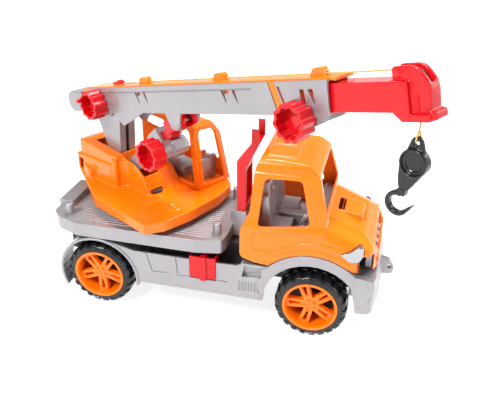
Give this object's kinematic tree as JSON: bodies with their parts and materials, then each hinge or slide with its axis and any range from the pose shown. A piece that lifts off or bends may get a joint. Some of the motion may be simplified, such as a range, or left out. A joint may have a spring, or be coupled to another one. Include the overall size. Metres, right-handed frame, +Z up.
{
  "type": "toy crane truck",
  "caption": "Toy lorry with rolling wheels, a slewing deck with an operator's cab, a rack-raised telescopic boom and a hook on a cord wound by a hand knob.",
  "frame": {"origin": "on the ground under the slewing axis, on the truck's centre plane", "axes": "+X towards the truck's front, +Y to its left side, +Z up"},
  "size_m": [0.4331, 0.2811, 0.3418],
  "materials": {
    "orange_plastic": "glossy moulded",
    "silver_plastic": "metallic silver, satin",
    "red_plastic": "glossy moulded",
    "black_plastic": "glossy moulded",
    "dark_plastic": "matte moulded",
    "tyre": "satin, moulded tread",
    "steel": "bright zinc",
    "cord": "twisted cord"
  },
  "bodies": {
    "truck": {"chassis_shell": "silver_plastic", "chassis_frame": "dark_plastic", "bed": "silver_plastic", "cab_shell": "orange_plastic", "cab_interior": "silver_plastic", "grille_insert": "silver_plastic", "headlamp_left": "silver_plastic", "headlamp_right": "silver_plastic", "locker_left": "red_plastic", "locker_right": "red_plastic", "boom_rest": "red_plastic", "slew_pin": "dark_plastic", "chassis_screws": "steel"},
    "rear_wheels": {"rear_axle": "steel", "rear_rim_left": "orange_plastic", "rear_rim_right": "orange_plastic", "rear_tyre_left": "tyre", "rear_tyre_right": "tyre"},
    "front_wheels": {"front_axle": "steel", "front_rim_left": "orange_plastic", "front_rim_right": "orange_plastic", "front_tyre_left": "tyre", "front_tyre_right": "tyre"},
    "turntable": {"deck": "orange_plastic", "pedestal": "silver_plastic", "crane_cab": "orange_plastic", "crane_seat": "silver_plastic", "crane_console": "silver_plastic", "case_pin": "steel", "deck_screws": "steel"},
    "luffing_case": {"luff_case": "silver_plastic"},
    "luffing_rod": {"luff_rod": "red_plastic"},
    "luffing_drive": {"luff_knob": "red_plastic", "luff_pinion": "dark_plastic"},
    "boom": {"boom_core": "orange_plastic", "boom_cover_left": "silver_plastic", "boom_cover_right": "silver_plastic", "boom_tail_cap": "silver_plastic", "boom_pivot_pin": "steel", "luff_lug_pin": "steel", "cord_guides": "orange_plastic", "boom_screws": "steel", "cord_on_boom": "cord", "cord_span": "cord"},
    "winch": {"winch_knob": "red_plastic", "winch_drum": "dark_plastic"},
    "latch": {"winch_latch": "red_plastic"},
    "telescope_drive": {"telescope_knob": "red_plastic", "telescope_pinion": "dark_plastic"},
    "telescope": {"inner_boom": "red_plastic", "boom_head": "red_plastic", "pulley_pin": "steel", "cord_on_head": "cord"},
    "pulley": {"head_pulley": "dark_plastic"},
    "fall": {"cord_fall": "cord"},
    "knot": {"cord_knot": "cord"},
    "block": {"hook_block": "black_plastic"},
    "hook": {"hook": "black_plastic"}
  },
  "joints": [
    {"name": "rear_wheels_turn", "type": "hinge", "parent": "truck", "child": "rear_wheels", "pos_m": [-0.051, 0, 0.04], "axis": [0, 1, 0], "continuous": true},
    {"name": "front_wheels_turn", "type": "hinge", "parent": "truck", "child": "front_wheels", "pos_m": [0.1976, 0, 0.04], "axis": [0, 1, 0], "continuous": true},
    {"name": "slew", "type": "hinge", "parent": "truck", "child": "turntable", "pos_m": [0, 0, 0.1], "axis": [0, 0, 1], "range_deg": [-109, 170]},
    {"name": "luff", "type": "hinge", "parent": "turntable", "child": "boom", "pos_m": [-0.0518, 0.03027, 0.214], "axis": [-0.5045, -0.8634, 0], "range_deg": [-14.1, 20]},
    {"name": "case_tilt", "type": "hinge", "parent": "turntable", "child": "luffing_case", "pos_m": [-0.03108, 0.01816, 0.146], "axis": [-0.5045, -0.8634, 0], "range_deg": [-11.5, 16]},
    {"name": "rod_slide", "type": "slide", "parent": "luffing_case", "child": "luffing_rod", "axis": [0.6464, -0.3777, 0.6629], "range_m": [-0.0165, 0.0235]},
    {"name": "luff_knob_turn", "type": "hinge", "parent": "luffing_case", "child": "luffing_drive", "pos_m": [0.03625, -0.02118, 0.19595], "axis": [0.5045, 0.8634, 0], "range_deg": [-124, 175]},
    {"name": "telescope", "type": "slide", "parent": "boom", "child": "telescope", "axis": [0.8374, -0.4893, 0.2436], "range_m": [-0.044, 0.085], "deforming": ["cord_span"]},
    {"name": "telescope_knob_turn", "type": "hinge", "parent": "boom", "child": "telescope_drive", "pos_m": [0.19468, -0.11377, 0.28014], "axis": [0.5045, 0.8634, 0], "range_deg": [-506, 976]},
    {"name": "winch_turn", "type": "hinge", "parent": "boom", "child": "winch", "pos_m": [-0.06607, 0.03861, 0.21903], "axis": [0.5045, 0.8634, 0], "range_deg": [-50, 1370]},
    {"name": "latch_lift", "type": "hinge", "parent": "boom", "child": "latch", "pos_m": [-0.05204, 0.03041, 0.24383], "axis": [-0.5045, -0.8634, 0], "range_deg": [0, 20]},
    {"name": "hoist", "type": "slide", "parent": "fall", "child": "knot", "axis": [0, 0, -1], "range_m": [-0.0041, 0.111], "deforming": ["cord_fall"]},
    {"name": "pulley_turn", "type": "hinge", "parent": "telescope", "child": "pulley", "pos_m": [0.27348, -0.15981, 0.32977], "axis": [0.5045, 0.8634, 0], "range_deg": [-28, 752]},
    {"name": "fall_swing", "type": "hinge", "parent": "telescope", "child": "fall", "pos_m": [0.27348, -0.15981, 0.32977], "axis": [-0.5045, -0.8634, 0], "range_deg": [-20.5, 14.6]},
    {"name": "hook_swing", "type": "hinge", "parent": "knot", "child": "block", "pos_m": [0.28073, -0.16405, 0.28627], "axis": [0.5045, 0.8634, 0], "range_deg": [-50, 50]},
    {"name": "hook_swivel", "type": "hinge", "parent": "block", "child": "hook", "pos_m": [0.27503, -0.16072, 0.24757], "axis": [0, 0, 1], "continuous": true}
  ],
  "couplings": [
    {"joint": "case_tilt", "follows": "luff", "ratio": 0.78},
    {"joint": "rod_slide", "follows": "luff", "m_per_rad": 0.0647},
    {"joint": "luff_knob_turn", "follows": "luff", "ratio": 8.6267},
    {"joint": "fall_swing", "follows": "luff", "ratio": -1},
    {"joint": "telescope_knob_turn", "follows": "telescope", "rad_per_m": 200},
    {"joint": "hoist", "follows": "winch_turn", "m_per_rad": 0.0046},
    {"joint": "pulley_turn", "follows": "winch_turn", "ratio": 0.5476}
  ]
}
